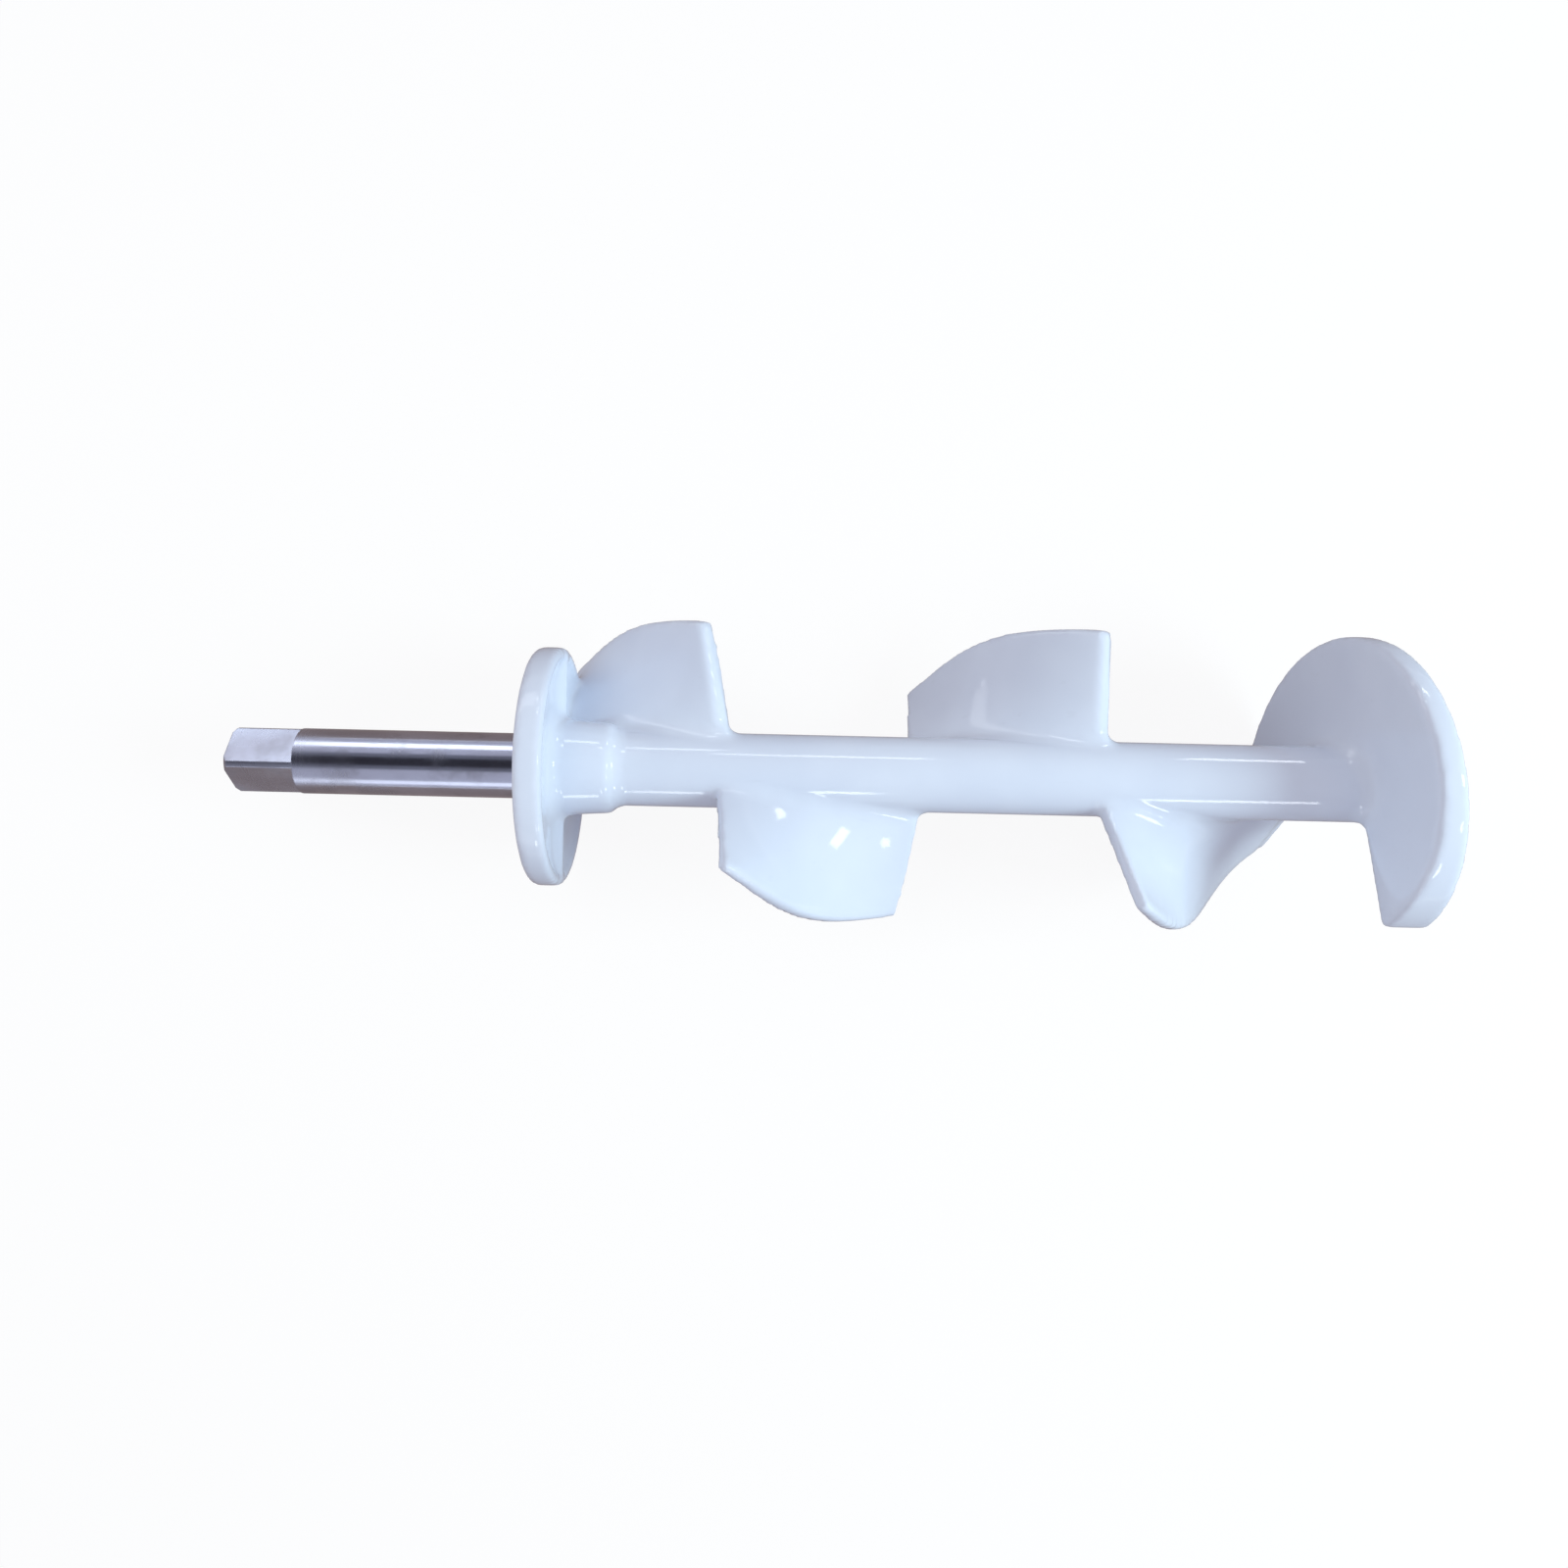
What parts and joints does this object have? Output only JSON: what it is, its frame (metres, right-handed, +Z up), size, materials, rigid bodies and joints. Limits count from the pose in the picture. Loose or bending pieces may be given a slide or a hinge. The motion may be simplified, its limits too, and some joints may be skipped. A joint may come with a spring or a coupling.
{
  "type": "ice cream machine agitator shaft",
  "caption": "White moulded dasher with twisted paddles on alternate sides of a tube, a dished end flange and an end screw flight, on a steel drive shaft with a square end.",
  "frame": {"origin": "on the shaft's axis, in the plane of the flange's back face where the steel journal ends", "axes": "+X along the axis towards the end flight, +Y towards the first paddle's crest, +Z up from the table it lies on"},
  "size_m": [0.2858, 0.0726, 0.072],
  "materials": {
    "steel": "turned, with fine rings",
    "plastic": "gloss, smooth moulded"
  },
  "bodies": {
    "root": {"drive_shaft": "steel", "agitator_body": "plastic"}
  },
  "joints": []
}
